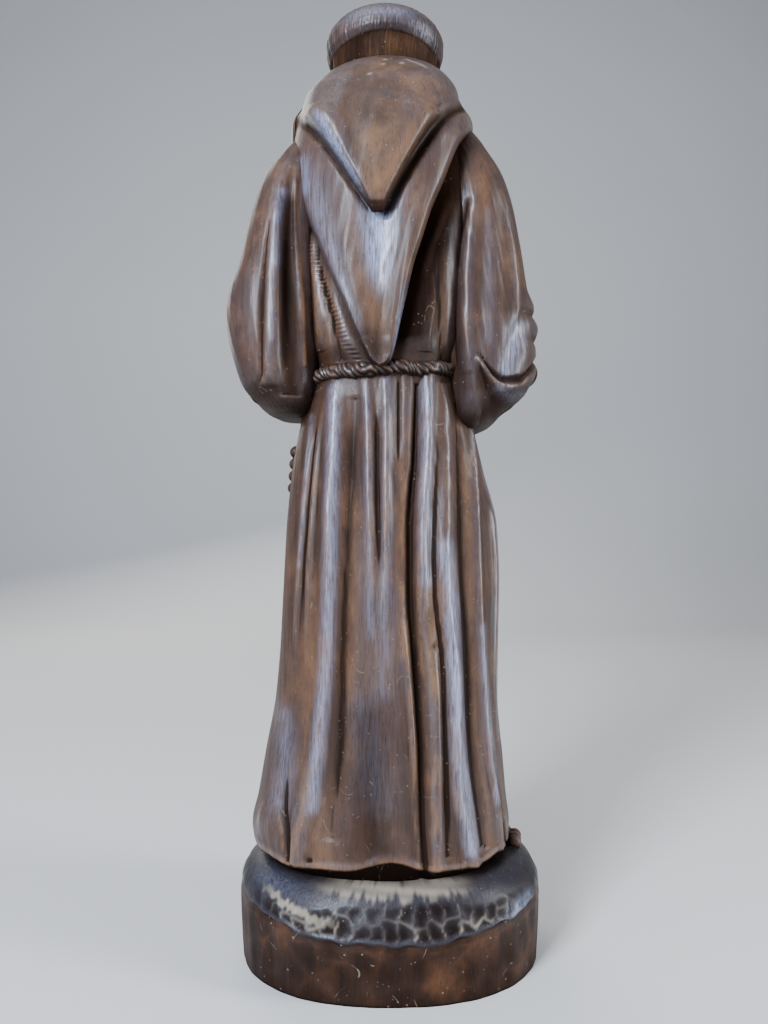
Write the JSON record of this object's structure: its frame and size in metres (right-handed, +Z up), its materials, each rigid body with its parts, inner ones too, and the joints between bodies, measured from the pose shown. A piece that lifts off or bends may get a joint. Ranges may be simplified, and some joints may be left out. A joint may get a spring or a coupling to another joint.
{
  "type": "saint anthony statue",
  "caption": "Carved and varnished wooden statue of a standing friar saint in a hooded habit with a rope belt, on an oval base cut from the same block.",
  "frame": {"origin": "the middle of the base's flat underside", "axes": "+Z up, +Y towards the figure's back, +X towards the figure's own left; the figure looks along -Y"},
  "size_m": [0.1679, 0.1455, 0.5001],
  "materials": {
    "stained_wood": "medium brown stained and satin varnished carved wood, darker in the grooves and worn paler on the ridges"
  },
  "bodies": {
    "root": {"friar_statue": "stained_wood"}
  },
  "joints": []
}
